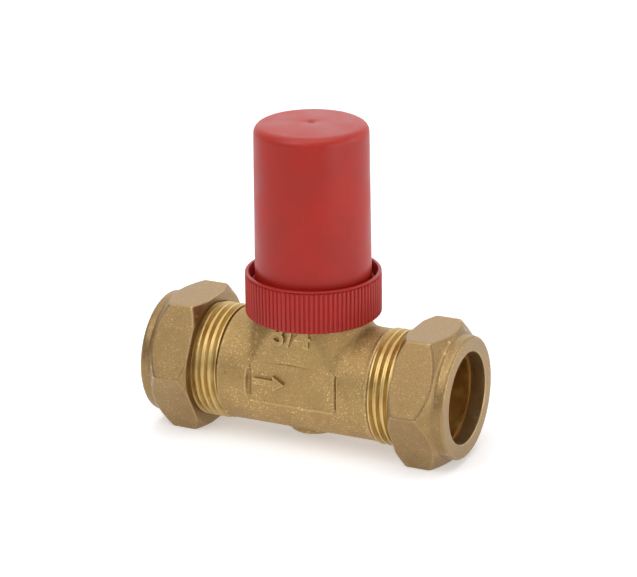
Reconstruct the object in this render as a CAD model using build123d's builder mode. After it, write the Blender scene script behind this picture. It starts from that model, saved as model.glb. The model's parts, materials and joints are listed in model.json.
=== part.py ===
from build123d import *
import os

# Lockshield valve with compression ends for 22 mm copper pipe. Millimetres, +Z up.
# The run of the pipe lies along X and the spindle stands along Z.
# The origin is on the spindle's axis, on the surface that the two nuts' lower flats rest on.

# ---- Pipe ends ---------------------------------------------------------------------------
pipe_d = 22.0              # outside diameter of the copper pipe
pipe_clear = 0.15          # radial room round the pipe in the sockets and the nuts
run_length = 80.0          # from one nut's nose face to the other's
pipe_reach = 22.5          # how far the pipe goes in, to its stop
waterway_r = 9.0

# ---- Compression nuts --------------------------------------------------------------------
nut_wall = 2.0             # thinnest wall, from the thread to the flats
nut_hex_length = 10.8
nose_length = 2.8
nose_wall = 3.75           # wall round the pipe at the nose
nose_chamfer = 0.5
nose_wall_length = 3.2     # straight bore behind the nose face
nut_outer_chamfer = 2.0    # length of the cone that turns the hexagon's corners, nose side
nut_outer_chamfer_drop = 0.6   # how far inside the flats that cone ends
nut_inner_chamfer = 1.9    # the same on the body side
nut_inner_chamfer_rise = 0.45   # how far outside the flats that one ends
nut_countersink = 0.9
nut_thread_length = 7.6

# ---- Olives ------------------------------------------------------------------------------
olive_length = 6.0
olive_crest_wall = 1.3     # outside the pipe socket's radius
olive_end_wall = 0.4
olive_flat = 1.0           # width of the cylindrical crest
olive_bore_clear = 0.10
olive_gap = 0.05           # between the olive and the cones that squeeze it

# ---- Body --------------------------------------------------------------------------------
body_wall = 2.45           # outside the pipe socket's radius
neck_r = 13.5
neck_height = 15.8         # neck's top above the run axis
crease_fillet = 2.0
tail_inset = 8.2           # from a nut's nose face to the end of the threaded tail inside it
tail_length = 11.8
tail_lead = 0.8            # plain length at the end of each tail
tail_lap = 0.5             # how far each tail's thread is sunk into the run
chamber_r = 9.5            # upright chamber round the plug
web_top = 0.0              # top of the horizontal web that holds the seat
web_thickness = 2.5
waterway_end_x = 12.0      # where the round waterways meet the upright webs
passage_reach = 8.0        # how far each half-height passage runs past the spindle axis

boss_r = 6.0               # round boss under the body
boss_stand = 0.1           # how far it stands out below the run
boss_edge = 0.4

pad_half_length = 11.7     # flat pads milled on the front and the back
pad_half_height = 5.0
pad_rise = 1.3             # pad's middle above the run axis
pad_depth = 0.95           # how deep they are cut at their middle
arrow_tail_x = -10.2
arrow_neck_x = -4.8
arrow_tip_x = -1.8
arrow_shaft_width = 1.45
arrow_head_width = 3.8
arrow_height = 0.45        # how far the arrow stands off the pad

# ---- Screw threads: major radius, depth and pitch -----------------------------------------
tail_thread_wall = 2.85    # outside the pipe socket's radius
tail_thread_depth = 1.0
tail_pitch = 1.814
cap_thread_r = 14.0
cap_thread_depth = 0.92
cap_pitch = 1.5
lift_thread_r = 5.0
lift_thread_depth = 0.85
lift_pitch = 1.5
flat_share = 0.22          # crest and root flats as a share of the pitch
thread_sink = 0.15         # how deep a ridge is sunk into its core
tail_thread_gap = 0.12
cap_thread_gap = 0.10
lift_thread_gap = 0.08

# ---- Seat and plug (heights are above the run axis) ----------------------------------------
seat_bore_r = 5.5
seat_ring_r = 7.6
seat_land_r = 6.6
seat_land_height = 0.6
disc_r = 7.4
disc_thickness = 1.8
disc_gap = 0.05            # shut valve: rubber to seat
plug_r = 8.2
plug_skirt_depth = 1.2
plug_skirt_clear = 0.1
plug_floor = 0.9
plug_neck_r = 4.6
plug_top = 6.4
button_r = 3.2
button_thickness = 1.4
button_clear = 0.08        # end play of the button in the plug
button_side_clear = 0.2
button_neck_r = 2.2
clip_thickness = 0.7
clip_slot = 1.6            # opening in the clip
clip_depth = 0.5           # how far the clip's groove is cut into the plug's wall
stud_r = 1.6
plug_nut_af = 5.5
plug_nut_thickness = 2.0
stud_stand = 0.5           # stud showing below its nut

# ---- Bonnet and gland ----------------------------------------------------------------------
neck_thread_r = 10.9
neck_thread_bottom = 7.0
seal_thickness = 1.0
bonnet_cavity_r = 8.7
lift_thread_bottom = 11.0
bonnet_flange_r = 12.9
bonnet_flange_thickness = 0.6
cap_thread_length = 4.7    # above the neck's top
bonnet_hex_af = 20.0
bonnet_hex_chamfer_r = 10.6
bevel_run = 2.0            # outward length and fall of the bevels on the hexagons
bevel_fall = 0.5
bonnet_top = 30.5
stuffing_r = 6.5
stuffing_bottom = 20.0
washer_thickness = 0.8
packing_rings = 3
packing_ring_thickness = 1.2
follower_thickness = 1.5
packing_ring_gap = 0.02
gland_head_stand = 0.8     # how far the gland nut's head stands off the bonnet
gland_hex_af = 15.0
gland_hex_height = 4.0
gland_hex_chamfer_r = 8.0
gland_gap = 0.05           # between the sliding gland parts and the stuffing box

# ---- Spindle -------------------------------------------------------------------------------
spindle_r = 4.0
spindle_gap = 0.06
lift_thread_start = 7.2
lift_thread_top = 15.4
spindle_shoulder = 0.7     # plain length under the thread
square_af = 6.0
square_bottom = 42.0
spindle_top = 52.0
spindle_end_chamfer = 0.6

# ---- Shield --------------------------------------------------------------------------------
ring_lift = 0.2            # above the neck's top
ring_height = 10.6
ring_r = 16.35
ring_edge = 0.6
cup_r = 15.0
skirt_height = 4.7         # threaded height under the shelf
shelf_thickness = 1.2
shelf_bore_r = 12.4
flute_count = 90
flute_r = 0.36
flute_depth = 0.3
slip_thickness = 0.6
slip_gap = 0.03            # between the washer and the ring that turns under it
slip_bore_r = 12.5
foot_r = 14.85
foot_height = 1.6
foot_rise = 0.05           # slack between the hood's foot and the slip washer
hood_base_r = 13.95
hood_top_r = 13.65
hood_top = 63.1
hood_wall = 1.6
hood_roof = 2.2
hood_edge = 2.0
hood_dome = 0.3

# ---- Working allowances --------------------------------------------------------------------
cut_extra = 1.0            # how far a cut runs past the face it opens
tiny = 0.01

# ---- Worked out from the sizes above -------------------------------------------------------
socket_r = pipe_d / 2 + pipe_clear
tail_thread_r = socket_r + tail_thread_wall
body_r = socket_r + body_wall
nut_af = 2 * (tail_thread_r + nut_wall)
run_z = nut_af / 2
nose_r = socket_r + nose_wall
nut_outer_chamfer_r = nut_af / 2 - nut_outer_chamfer_drop
nut_inner_chamfer_r = nut_af / 2 + nut_inner_chamfer_rise
olive_crest_r = socket_r + olive_crest_wall
olive_end_r = socket_r + olive_end_wall
boss_drop = body_r + boss_stand
pad_y = body_r - pad_depth
nose_x = run_length / 2
pipe_stop_x = nose_x - pipe_reach
body_end_x = nose_x - tail_inset
tail_start_x = body_end_x - tail_length
cap_thread_top = neck_height + cap_thread_length
ring_bottom = neck_height + ring_lift
ring_top = ring_bottom + ring_height
shelf_bottom = ring_bottom + skirt_height
shelf_top = shelf_bottom + shelf_thickness
collar_x = nose_x - nose_length
nut_back_x = collar_x - nut_hex_length
nose_wall_x = nose_x - nose_wall_length
corner_r = nut_af / 3 ** 0.5
olive_slope = (olive_crest_r - olive_end_r) / ((olive_length - olive_flat) / 2)
olive_outer_x = nose_wall_x - olive_gap / olive_slope - (olive_end_r - socket_r) / olive_slope
olive_x = olive_outer_x - olive_length / 2
olive_inner_x = olive_x - olive_length / 2
mouth_r = olive_end_r + (body_end_x - olive_inner_x) * olive_slope + olive_gap
washer_top = stuffing_bottom + washer_thickness
packing_top = washer_top + packing_rings * packing_ring_thickness
follower_top = packing_top + follower_thickness
disc_bottom = web_top + seat_land_height + disc_gap
disc_top = disc_bottom + disc_thickness
recess_floor = disc_top + plug_floor
bonnet_bottom = neck_thread_bottom + seal_thickness
thread_foot = neck_height + bonnet_flange_thickness
slip_top = shelf_top + slip_gap + slip_thickness
foot_bottom = slip_top + foot_rise
foot_top = foot_bottom + foot_height
slip_bottom = shelf_top + slip_gap
web_bottom = web_top - web_thickness
nut_thread_end_x = nut_back_x + nut_thread_length
nut_cone_r = socket_r + (nose_wall_x - nut_thread_end_x) * olive_slope
olive_bore_r = pipe_d / 2 + olive_bore_clear
gland_head_bottom = bonnet_top + gland_head_stand
gland_head_top = gland_head_bottom + gland_hex_height
stud_bottom = disc_bottom - plug_nut_thickness - stud_stand
button_hole_r = button_r + button_side_clear
button_bottom = recess_floor + button_clear
button_top = button_bottom + button_thickness
clip_bottom = button_top + button_clear
clip_top = clip_bottom + clip_thickness
hood_ceiling = hood_top - hood_roof


def level(height):
    """Horizontal plane at a height above the run axis."""
    return Plane.XY.offset(run_z + height)


def threaded_rod(origin, direction, start, end, major_r, depth, pitch, helix_from, grow=0.0):
    """Rod with a right-hand thread between two stations along a direction from origin.

    The helix always sets off from helix_from, so that a rod and the tap for its nut are in
    step. grow is how much larger the tap is than the rod.
    """
    along = Vector(*direction)
    root_r = major_r - depth
    crest_flat = pitch * flat_share
    root_width = pitch - crest_flat
    taper = (root_width - crest_flat) / depth
    inner_r = root_r + grow - thread_sink
    outer_r = major_r + grow
    inner_width = root_width - taper * (inner_r - root_r) + 2 * grow
    outer_width = root_width - taper * (outer_r - root_r) + 2 * grow
    turns_length = end - helix_from + pitch
    helix_centre = origin + along * helix_from
    across = Plane(origin=origin + along * (helix_from - pitch), z_dir=along)
    window = Plane(origin=origin + along * start, z_dir=along)
    with BuildPart() as rod:
        with BuildSketch(across):
            Circle(root_r + grow)
        extrude(amount=turns_length + 2 * pitch)
        with BuildLine():
            helix = Helix(pitch, turns_length, inner_r, center=helix_centre, direction=along)
        outward = (helix @ 0 - helix_centre)
        radial = (outward - along * outward.dot(along)).normalized()
        with BuildSketch(Plane(origin=helix @ 0, x_dir=radial, z_dir=helix % 0)):
            with BuildLine():
                Polyline(
                    (0, -inner_width / 2),
                    (outer_r - inner_r, -outer_width / 2),
                    (outer_r - inner_r, outer_width / 2),
                    (0, inner_width / 2),
                    close=True,
                )
            make_face()
        sweep(path=helix, is_frenet=True)
        with BuildSketch(window):
            Circle(major_r + grow + pitch)
        extrude(amount=end - start, mode=Mode.INTERSECT)
    return rod.part


def tail_thread(start, end, grow=0.0):
    """Thread of the right-hand tail, or the tap for its nut."""
    axis_point = Vector(0, 0, run_z)
    helix_from = tail_start_x - 2 * tail_pitch
    return threaded_rod(axis_point, (1, 0, 0), start, end, tail_thread_r, tail_thread_depth,
                        tail_pitch, helix_from, grow)


def upright_thread(start, end, major_r, depth, pitch, helix_from, grow=0.0):
    """Thread about the spindle's axis between two heights above the run axis."""
    axis_point = Vector(0, 0, run_z)
    return threaded_rod(axis_point, (0, 0, 1), start, end, major_r, depth, pitch, helix_from, grow)


def turned(points, mode=Mode.ADD):
    """Revolve a half outline, given as (radius, height above the run axis), about Z."""
    with BuildSketch(Plane.XZ) as outline:
        with BuildLine():
            Polyline(*[(r, run_z + h) for r, h in points], close=True)
        make_face()
    revolve(outline.sketch, axis=Axis.Z, mode=mode)


def turned_along_x(points, mode=Mode.ADD):
    """Revolve a half outline, given as (x, radius), about the run axis."""
    with BuildSketch(Plane.XZ) as outline:
        with BuildLine():
            Polyline(*[(x, run_z + r) for x, r in points], close=True)
        make_face()
    revolve(outline.sketch, axis=Axis((0, 0, run_z), (1, 0, 0)), mode=mode)


def other_end(part):
    """The same piece turned half a turn about the spindle's axis, for the left-hand end."""
    return part.rotate(Axis.Z, 180)


def save(part, name):
    """Label a finished piece and write its file."""
    part.label = name
    export_step(part, f"parts/{name}.step")


os.makedirs("parts", exist_ok=True)

# ---- Valve body ----------------------------------------------------------------------------
right_tail = tail_thread(tail_start_x - tail_lap, body_end_x - tail_lead)
left_tail = other_end(right_tail)

with BuildPart() as valve_body:
    # run and neck, with a fillet in the crease between them
    with BuildSketch(Plane.YZ.offset(-tail_start_x)):
        with Locations((0, run_z)):
            Circle(body_r)
    extrude(amount=2 * tail_start_x)
    run_edges = valve_body.edges()
    with BuildSketch(level(0)):
        Circle(neck_r)
    extrude(amount=neck_height)
    joined = [edge for edge in valve_body.edges() if edge not in run_edges]
    crease = [edge for edge in joined if edge.bounding_box().size.Z > crease_fillet]
    fillet(crease, crease_fillet)
    # round boss underneath
    with BuildSketch(level(-boss_drop)):
        Circle(boss_r)
    extrude(amount=boss_drop)
    fillet(valve_body.faces().sort_by(Axis.Z)[0].edges(), boss_edge)
    # flat pads, front and back
    for side in (-1, 1):
        with BuildSketch(Plane.XZ.offset(side * pad_y)):
            with Locations((0, run_z + pad_rise)):
                Rectangle(2 * pad_half_length, 2 * pad_half_height)
        extrude(amount=side * (body_r - pad_y + cut_extra), mode=Mode.SUBTRACT)
    # flow arrow on the front pad
    with BuildSketch(Plane.XZ.offset(pad_y)):
        with BuildLine():
            arrow_z = run_z + pad_rise
            Polyline(
                (arrow_tail_x, arrow_z - arrow_shaft_width / 2),
                (arrow_neck_x, arrow_z - arrow_shaft_width / 2),
                (arrow_neck_x, arrow_z - arrow_head_width / 2),
                (arrow_tip_x, arrow_z),
                (arrow_neck_x, arrow_z + arrow_head_width / 2),
                (arrow_neck_x, arrow_z + arrow_shaft_width / 2),
                (arrow_tail_x, arrow_z + arrow_shaft_width / 2),
                close=True,
            )
        make_face()
    extrude(amount=arrow_height)
    # threaded tails
    add(right_tail)
    add(left_tail)
    for end in (-1, 1):
        # plain lead at the tail's end
        with BuildSketch(Plane.YZ.offset(end * (body_end_x - tail_lead))):
            with Locations((0, run_z)):
                Circle(tail_thread_r - tail_thread_depth)
        extrude(amount=end * tail_lead)
        # pipe socket and its flared mouth
        turned_along_x(
            [
                (end * pipe_stop_x, 0),
                (end * pipe_stop_x, socket_r),
                (end * (body_end_x - (mouth_r - socket_r) / olive_slope), socket_r),
                (end * body_end_x, mouth_r),
                (end * (body_end_x + cut_extra), mouth_r),
                (end * (body_end_x + cut_extra), 0),
            ],
            mode=Mode.SUBTRACT,
        )
        # round waterway behind the pipe stop
        with BuildSketch(Plane.YZ.offset(end * waterway_end_x)):
            with Locations((0, run_z)):
                Circle(waterway_r)
        extrude(amount=end * (pipe_stop_x - waterway_end_x), mode=Mode.SUBTRACT)
    # inlet passage under the web, and outlet passage over it
    with BuildSketch(Plane.YZ.offset(-waterway_end_x)):
        with Locations((0, run_z)):
            Circle(waterway_r)
        with Locations((0, run_z + web_bottom)):
            Rectangle(2 * waterway_r, 2 * waterway_r, align=(Align.CENTER, Align.MIN),
                      mode=Mode.SUBTRACT)
    extrude(amount=waterway_end_x + passage_reach, mode=Mode.SUBTRACT)
    with BuildSketch(Plane.YZ.offset(waterway_end_x)):
        with Locations((0, run_z)):
            Circle(waterway_r)
        with Locations((0, run_z + web_top)):
            Rectangle(2 * waterway_r, 2 * waterway_r, align=(Align.CENTER, Align.MAX),
                      mode=Mode.SUBTRACT)
    extrude(amount=-(waterway_end_x + passage_reach), mode=Mode.SUBTRACT)
    # seat bore, plug chamber and the neck's bore for the bonnet
    turned(
        [
            (0, web_bottom),
            (seat_ring_r, web_bottom),
            (seat_ring_r, web_top),
            (chamber_r, web_top),
            (chamber_r, neck_thread_bottom),
            (neck_thread_r, neck_thread_bottom),
            (neck_thread_r, neck_height + cut_extra),
            (0, neck_height + cut_extra),
        ],
        mode=Mode.SUBTRACT,
    )
save(valve_body.part, "valve_body")

# ---- Seat ring, pressed into the web ---------------------------------------------------------
with BuildPart() as seat_ring:
    turned(
        [
            (seat_bore_r, web_bottom),
            (seat_ring_r, web_bottom),
            (seat_ring_r, web_top),
            (seat_land_r, web_top),
            (seat_land_r, web_top + seat_land_height),
            (seat_bore_r, web_top + seat_land_height),
        ]
    )
save(seat_ring.part, "seat_ring")

# ---- Compression nuts, one at each end -------------------------------------------------------
nut_tap = tail_thread(nut_back_x - tail_pitch, nut_thread_end_x, grow=tail_thread_gap)
tap_mouth_r = tail_thread_r + tail_thread_gap

with BuildPart() as compression_nut:
    with BuildSketch(Plane.YZ.offset(nut_back_x)):
        with Locations((0, run_z)):
            RegularPolygon(radius=nut_af / 2, side_count=6, major_radius=False)
    extrude(amount=nut_hex_length)
    # the cones that turn the hexagon's corners
    turned_along_x(
        [
            (nut_back_x, 0),
            (nut_back_x, nut_inner_chamfer_r),
            (nut_back_x + nut_inner_chamfer, corner_r),
            (collar_x - nut_outer_chamfer, corner_r),
            (collar_x, nut_outer_chamfer_r),
            (collar_x, 0),
        ],
        mode=Mode.INTERSECT,
    )
    # nose collar
    turned_along_x(
        [
            (collar_x, 0),
            (collar_x, nose_r),
            (nose_x - nose_chamfer, nose_r),
            (nose_x, nose_r - nose_chamfer),
            (nose_x, 0),
        ]
    )
    # pipe hole, the cone that squeezes the olive, the countersink and the thread
    turned_along_x(
        [
            (nut_back_x, 0),
            (nut_back_x, nut_cone_r),
            (nut_thread_end_x, nut_cone_r),
            (nose_wall_x, socket_r),
            (nose_x + cut_extra, socket_r),
            (nose_x + cut_extra, 0),
        ],
        mode=Mode.SUBTRACT,
    )
    turned_along_x(
        [
            (nut_back_x - cut_extra, 0),
            (nut_back_x - cut_extra, tap_mouth_r + cut_extra),
            (nut_back_x, tap_mouth_r),
            (nut_back_x + nut_countersink, tap_mouth_r - nut_countersink),
            (nut_back_x + nut_countersink, 0),
        ],
        mode=Mode.SUBTRACT,
    )
    add(nut_tap, mode=Mode.SUBTRACT)
save(compression_nut.part, "right_compression_nut")
save(other_end(compression_nut.part), "left_compression_nut")

# ---- Olives ----------------------------------------------------------------------------------
with BuildPart() as olive:
    turned_along_x(
        [
            (olive_x - olive_length / 2, olive_bore_r),
            (olive_x - olive_length / 2, olive_end_r),
            (olive_x - olive_flat / 2, olive_crest_r),
            (olive_x + olive_flat / 2, olive_crest_r),
            (olive_x + olive_length / 2, olive_end_r),
            (olive_x + olive_length / 2, olive_bore_r),
        ]
    )
save(olive.part, "right_olive")
save(other_end(olive.part), "left_olive")

# ---- Bonnet: screwed into the neck, with the shield's thread outside --------------------------
cap_helix_from = thread_foot - 2 * cap_pitch
lift_helix_from = lift_thread_start - 2 * lift_pitch
cap_thread = upright_thread(
    thread_foot, cap_thread_top, cap_thread_r, cap_thread_depth, cap_pitch, cap_helix_from
)
lift_tap = upright_thread(
    lift_thread_bottom, stuffing_bottom, lift_thread_r, lift_thread_depth, lift_pitch,
    lift_helix_from, grow=lift_thread_gap,
)

with BuildPart() as bonnet:
    turned(
        [
            (0, bonnet_bottom),
            (neck_thread_r, bonnet_bottom),
            (neck_thread_r, neck_height),
            (bonnet_flange_r, neck_height),
            (bonnet_flange_r, thread_foot),
            (0, thread_foot),
        ]
    )
    add(cap_thread)
    with BuildSketch(level(cap_thread_top)):
        RegularPolygon(radius=bonnet_hex_af / 2, side_count=6, major_radius=False)
    extrude(amount=bonnet_top - cap_thread_top)
    # bevel on the hexagon's top corners
    turned(
        [
            (bonnet_hex_chamfer_r, bonnet_top),
            (bonnet_hex_chamfer_r + bevel_run, bonnet_top - bevel_run * bevel_fall),
            (bonnet_hex_chamfer_r + bevel_run, bonnet_top),
        ],
        mode=Mode.SUBTRACT,
    )
    # recess that the plug rises into, spindle thread and stuffing box
    with BuildSketch(level(bonnet_bottom)):
        Circle(bonnet_cavity_r)
    extrude(amount=lift_thread_bottom - bonnet_bottom, mode=Mode.SUBTRACT)
    add(lift_tap, mode=Mode.SUBTRACT)
    with BuildSketch(level(stuffing_bottom)):
        Circle(stuffing_r)
    extrude(amount=bonnet_top - stuffing_bottom, mode=Mode.SUBTRACT)
save(bonnet.part, "bonnet")

with BuildPart() as bonnet_seal:
    turned(
        [
            (chamber_r, neck_thread_bottom),
            (neck_thread_r, neck_thread_bottom),
            (neck_thread_r, bonnet_bottom),
            (chamber_r, bonnet_bottom),
        ]
    )
save(bonnet_seal.part, "bonnet_seal")

# ---- Gland: backing washer, packing rings, follower and nut ------------------------------------
with BuildPart() as packing_washer:
    turned(
        [
            (spindle_r + spindle_gap, stuffing_bottom),
            (stuffing_r, stuffing_bottom),
            (stuffing_r, washer_top),
            (spindle_r + spindle_gap, washer_top),
        ]
    )
save(packing_washer.part, "packing_washer")

with BuildPart() as gland_packing:
    for ring_index in range(packing_rings):
        ring_foot = washer_top + ring_index * packing_ring_thickness
        with BuildSketch(level(ring_foot)):
            Circle(stuffing_r)
            Circle(spindle_r + spindle_gap, mode=Mode.SUBTRACT)
        extrude(amount=packing_ring_thickness - packing_ring_gap)
save(gland_packing.part, "gland_packing")

with BuildPart() as gland_follower:
    turned(
        [
            (spindle_r + spindle_gap, packing_top),
            (stuffing_r - gland_gap, packing_top),
            (stuffing_r - gland_gap, follower_top),
            (spindle_r + spindle_gap, follower_top),
        ]
    )
save(gland_follower.part, "gland_follower")

with BuildPart() as gland_nut:
    with BuildSketch(level(follower_top + gland_gap)):
        Circle(stuffing_r - gland_gap)
    extrude(amount=gland_head_bottom - follower_top - gland_gap)
    with BuildSketch(level(gland_head_bottom)):
        RegularPolygon(radius=gland_hex_af / 2, side_count=6, major_radius=False)
    extrude(amount=gland_hex_height)
    turned(
        [
            (gland_hex_chamfer_r, gland_head_top),
            (gland_hex_chamfer_r + bevel_run, gland_head_top - bevel_run * bevel_fall),
            (gland_hex_chamfer_r + bevel_run, gland_head_top),
        ],
        mode=Mode.SUBTRACT,
    )
    with BuildSketch(level(follower_top)):
        Circle(spindle_r + spindle_gap)
    extrude(amount=gland_head_top - follower_top, mode=Mode.SUBTRACT)
save(gland_nut.part, "gland_nut")

# ---- Plug: the disc holder that the spindle lifts without turning it ---------------------------
with BuildPart() as valve_plug:
    turned(
        [
            (0, stud_bottom),
            (stud_r, stud_bottom),
            (stud_r, disc_top),
            (disc_r + plug_skirt_clear, disc_top),
            (disc_r + plug_skirt_clear, disc_top - plug_skirt_depth),
            (plug_r, disc_top - plug_skirt_depth),
            (plug_r, recess_floor),
            (plug_neck_r, recess_floor),
            (plug_neck_r, plug_top),
            (button_hole_r, plug_top),
            (button_hole_r, clip_top),
            (button_hole_r + clip_depth, clip_top),
            (button_hole_r + clip_depth, clip_bottom),
            (button_hole_r, clip_bottom),
            (button_hole_r, recess_floor),
            (0, recess_floor),
        ]
    )
save(valve_plug.part, "valve_plug")

with BuildPart() as seat_washer:
    turned(
        [
            (stud_r, disc_bottom),
            (disc_r, disc_bottom),
            (disc_r, disc_top),
            (stud_r, disc_top),
        ]
    )
save(seat_washer.part, "seat_washer")

with BuildPart() as seat_washer_nut:
    with BuildSketch(level(disc_bottom - plug_nut_thickness)):
        RegularPolygon(radius=plug_nut_af / 2, side_count=6, major_radius=False)
        Circle(stud_r, mode=Mode.SUBTRACT)
    extrude(amount=plug_nut_thickness)
save(seat_washer_nut.part, "seat_washer_nut")

with BuildPart() as plug_clip:
    # open ring, sprung into the groove over the spindle's button
    with BuildSketch(level(clip_bottom)):
        Circle(button_hole_r + clip_depth)
        Circle(button_neck_r + button_side_clear, mode=Mode.SUBTRACT)
        Rectangle(2 * plug_neck_r, clip_slot, align=(Align.MIN, Align.CENTER), mode=Mode.SUBTRACT)
    extrude(amount=clip_thickness)
save(plug_clip.part, "plug_clip")

# ---- Spindle -----------------------------------------------------------------------------------
lift_thread = upright_thread(
    lift_thread_start, lift_thread_top, lift_thread_r, lift_thread_depth, lift_pitch,
    lift_helix_from,
)

with BuildPart() as spindle:
    add(lift_thread)
    turned(
        [
            (0, button_bottom),
            (button_r, button_bottom),
            (button_r, button_top),
            (button_neck_r, button_top),
            (button_neck_r, lift_thread_start - spindle_shoulder),
            (lift_thread_r - lift_thread_depth, lift_thread_start - spindle_shoulder),
            (lift_thread_r - lift_thread_depth, lift_thread_start),
            (0, lift_thread_start),
        ]
    )
    with BuildSketch(level(lift_thread_top)):
        Circle(spindle_r)
    extrude(amount=spindle_top - lift_thread_top)
    chamfer(spindle.faces().sort_by(Axis.Z)[-1].edges(), spindle_end_chamfer)
    # square for the key
    with BuildSketch(level(square_bottom)):
        Circle(2 * spindle_r)
        Rectangle(square_af, square_af, mode=Mode.SUBTRACT)
    extrude(amount=spindle_top - square_bottom, mode=Mode.SUBTRACT)
save(spindle.part, "spindle")

# ---- Shield: knurled ring, slip washer and hood ---------------------------------------------------
ring_tap = upright_thread(
    ring_bottom - cap_pitch, shelf_bottom, cap_thread_r, cap_thread_depth, cap_pitch,
    cap_helix_from, grow=cap_thread_gap,
)

with BuildPart() as shield_ring:
    turned(
        [
            (shelf_bore_r, ring_bottom),
            (ring_r - ring_edge, ring_bottom),
            (ring_r, ring_bottom + ring_edge),
            (ring_r, ring_top - ring_edge),
            (ring_r - ring_edge, ring_top),
            (cup_r, ring_top),
            (cup_r, shelf_top),
            (shelf_bore_r, shelf_top),
        ]
    )
    add(ring_tap, mode=Mode.SUBTRACT)
    # bevel where the thread starts
    turned(
        [
            (shelf_bore_r, ring_bottom),
            (cap_thread_r + cap_thread_gap, ring_bottom),
            (shelf_bore_r, ring_bottom + cap_thread_r + cap_thread_gap - shelf_bore_r),
        ],
        mode=Mode.SUBTRACT,
    )
    # flutes for the fingers
    with BuildSketch(level(ring_bottom)):
        with PolarLocations(ring_r + flute_r - flute_depth, flute_count):
            Circle(flute_r)
    extrude(amount=ring_top - ring_bottom, mode=Mode.SUBTRACT)
save(shield_ring.part, "shield_ring")

with BuildPart() as slip_washer:
    turned(
        [
            (slip_bore_r, slip_bottom),
            (foot_r, slip_bottom),
            (foot_r, slip_bottom + slip_thickness),
            (slip_bore_r, slip_bottom + slip_thickness),
        ]
    )
save(slip_washer.part, "slip_washer")

with BuildPart() as shield_hood:
    with BuildSketch(Plane.XZ):
        with BuildLine():
            Polyline(
                (hood_base_r - hood_wall, run_z + foot_bottom),
                (foot_r, run_z + foot_bottom),
                (foot_r, run_z + foot_top),
                (hood_base_r, run_z + foot_top),
                (hood_top_r, run_z + hood_top - hood_dome),
                (0, run_z + hood_top),
                (0, run_z + hood_ceiling),
                (hood_top_r - hood_wall, run_z + hood_ceiling),
                close=True,
            )
        make_face()
        outer_corner = [v for v in vertices() if abs(v.X - hood_top_r) < tiny]
        fillet(outer_corner, hood_edge)
    revolve(axis=Axis.Z)
save(shield_hood.part, "shield_hood")
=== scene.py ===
"""Looks of a lockshield valve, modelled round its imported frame.

The run of the pipe lies along X, the spindle and its red shield stand along Z, and the side with
the flow arrow faces -Y. Everything is in metres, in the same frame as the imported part.
"""
import json
import logging
import math
from dataclasses import dataclass, field
from enum import Enum
from typing import Callable, Sequence

import bpy
from mathutils import Matrix, Vector

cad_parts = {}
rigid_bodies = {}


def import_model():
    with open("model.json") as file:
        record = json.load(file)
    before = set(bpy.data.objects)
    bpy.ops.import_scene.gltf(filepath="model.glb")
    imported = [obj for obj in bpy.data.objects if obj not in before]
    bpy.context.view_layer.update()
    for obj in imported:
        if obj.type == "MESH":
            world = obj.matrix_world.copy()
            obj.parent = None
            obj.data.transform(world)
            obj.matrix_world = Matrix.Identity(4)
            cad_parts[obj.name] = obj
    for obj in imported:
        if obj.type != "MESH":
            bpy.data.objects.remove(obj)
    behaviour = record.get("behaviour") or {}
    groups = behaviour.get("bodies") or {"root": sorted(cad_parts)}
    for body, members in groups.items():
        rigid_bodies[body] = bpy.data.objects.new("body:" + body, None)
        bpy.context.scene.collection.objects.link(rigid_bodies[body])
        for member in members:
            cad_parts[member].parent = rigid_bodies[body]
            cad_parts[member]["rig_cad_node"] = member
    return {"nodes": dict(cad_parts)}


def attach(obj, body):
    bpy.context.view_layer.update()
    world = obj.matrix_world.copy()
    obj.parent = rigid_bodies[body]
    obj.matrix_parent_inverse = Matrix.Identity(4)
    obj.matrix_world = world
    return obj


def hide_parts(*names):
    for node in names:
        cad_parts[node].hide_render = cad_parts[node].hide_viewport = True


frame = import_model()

log = logging.getLogger("lockshield_valve")

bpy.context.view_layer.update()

MM = 0.001
FULL_TURN = 2 * math.pi
SLIVER = 0.0004 * MM
SAME_CORNER = 0.001 * MM
CAD_SAME_CORNER = 0.0005 * MM
EASE = 0.5
WHITE = (1.0, 1.0, 1.0)

Point = tuple[float, float]
Colour = tuple[float, float, float]


class Along(Enum):
    """The two axes that this valve's round pieces are turned about."""

    RUN = "X"
    SPINDLE = "Z"


class Join(Enum):
    """Ways of combining two solids."""

    ADD = "UNION"
    CUT = "DIFFERENCE"
    KEEP_COMMON = "INTERSECT"


# ---------------------------------------------------------------------------------------------
# Workshop: modelling steps that every piece uses
# ---------------------------------------------------------------------------------------------

def deselect() -> None:
    """Leave object mode ready, with nothing selected."""
    if bpy.context.object and bpy.context.object.mode != "OBJECT":
        bpy.ops.object.mode_set(mode="OBJECT")
    bpy.ops.object.select_all(action="DESELECT")


def take(piece: bpy.types.Object) -> None:
    """Make one piece the only selected and the active object.

    Args:
        piece: The object to work on.
    """
    deselect()
    piece.select_set(True)
    bpy.context.view_layer.objects.active = piece


def apply_modifier(piece: bpy.types.Object, kind: str, **settings: object) -> None:
    """Add a modifier, set it up and apply it.

    Args:
        piece: The object to change.
        kind: The modifier's type, such as "BEVEL".
        **settings: Values for the modifier's own properties.
    """
    modifier = piece.modifiers.new(kind.lower(), kind)
    for setting, value in settings.items():
        setattr(modifier, setting, value)
    take(piece)
    bpy.ops.object.modifier_apply(modifier=modifier.name)


def combine(piece: bpy.types.Object, tool: bpy.types.Object, how: Join) -> None:
    """Combine a piece with a tool solid, and throw the tool away.

    Args:
        piece: The solid that stays.
        tool: The solid that is used up.
        how: Whether the tool is added, cut away, or kept only where both are.
    """
    apply_modifier(piece, "BOOLEAN", operation=how.value, object=tool, solver="MANIFOLD")
    bpy.data.objects.remove(tool, do_unlink=True)


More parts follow.
